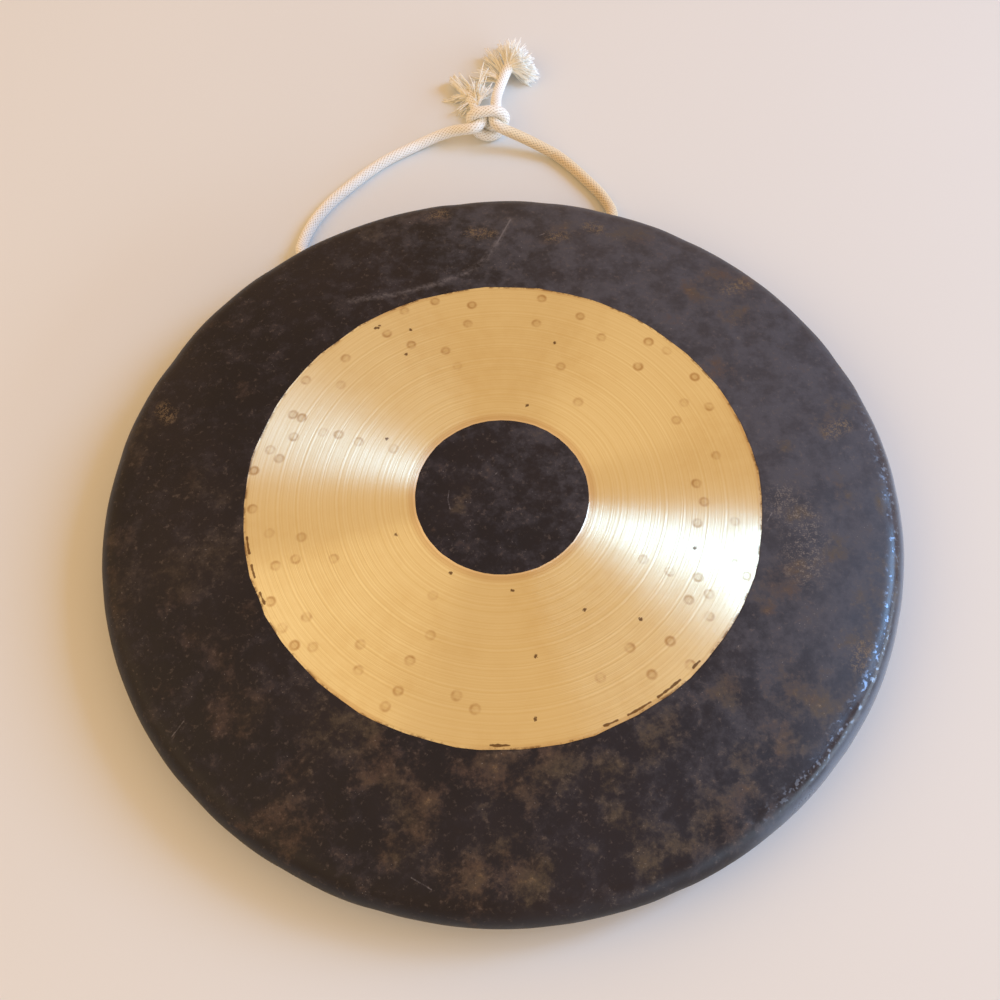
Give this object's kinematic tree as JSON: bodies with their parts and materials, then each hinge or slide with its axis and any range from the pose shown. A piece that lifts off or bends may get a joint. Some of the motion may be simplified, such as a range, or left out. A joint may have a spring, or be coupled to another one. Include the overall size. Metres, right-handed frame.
{
  "type": "tam tam gong",
  "caption": "Round bronze gong with a turned-back rim, a scraped bright ring on its dark face, and a knotted braided hanging cord through the rim.",
  "frame": {"origin": "centre of the rim's back edge, on the surface that the gong lies on", "axes": "+Z out of the face, along the gong's own axis; +Y from the middle to the top of the gong when it hangs, midway between the cord holes; +X to the right seen from the face"},
  "size_m": [0.4, 0.5339, 0.044],
  "materials": {
    "gong_bronze": "dark oxide patina with a scraped bare ring round a dark centre",
    "cord_cotton": "braided undyed cotton",
    "frayed_cotton": "loose frayed cotton yarn"
  },
  "bodies": {
    "gong": {"gong": "gong_bronze", "cord_inner_run": "cord_cotton"},
    "hanging_loop": {"cord_left_strand": "cord_cotton", "cord_right_strand": "cord_cotton", "knot": "cord_cotton", "long_tail": "cord_cotton", "short_tail": "cord_cotton", "long_tassel": "frayed_cotton", "short_tassel": "frayed_cotton"}
  },
  "joints": [
    {"name": "loop_swing", "type": "hinge", "parent": "gong", "child": "hanging_loop", "pos_m": [0, 0.18335, 0.01], "axis": [1, 0, 0], "range_deg": [0, 90]}
  ]
}
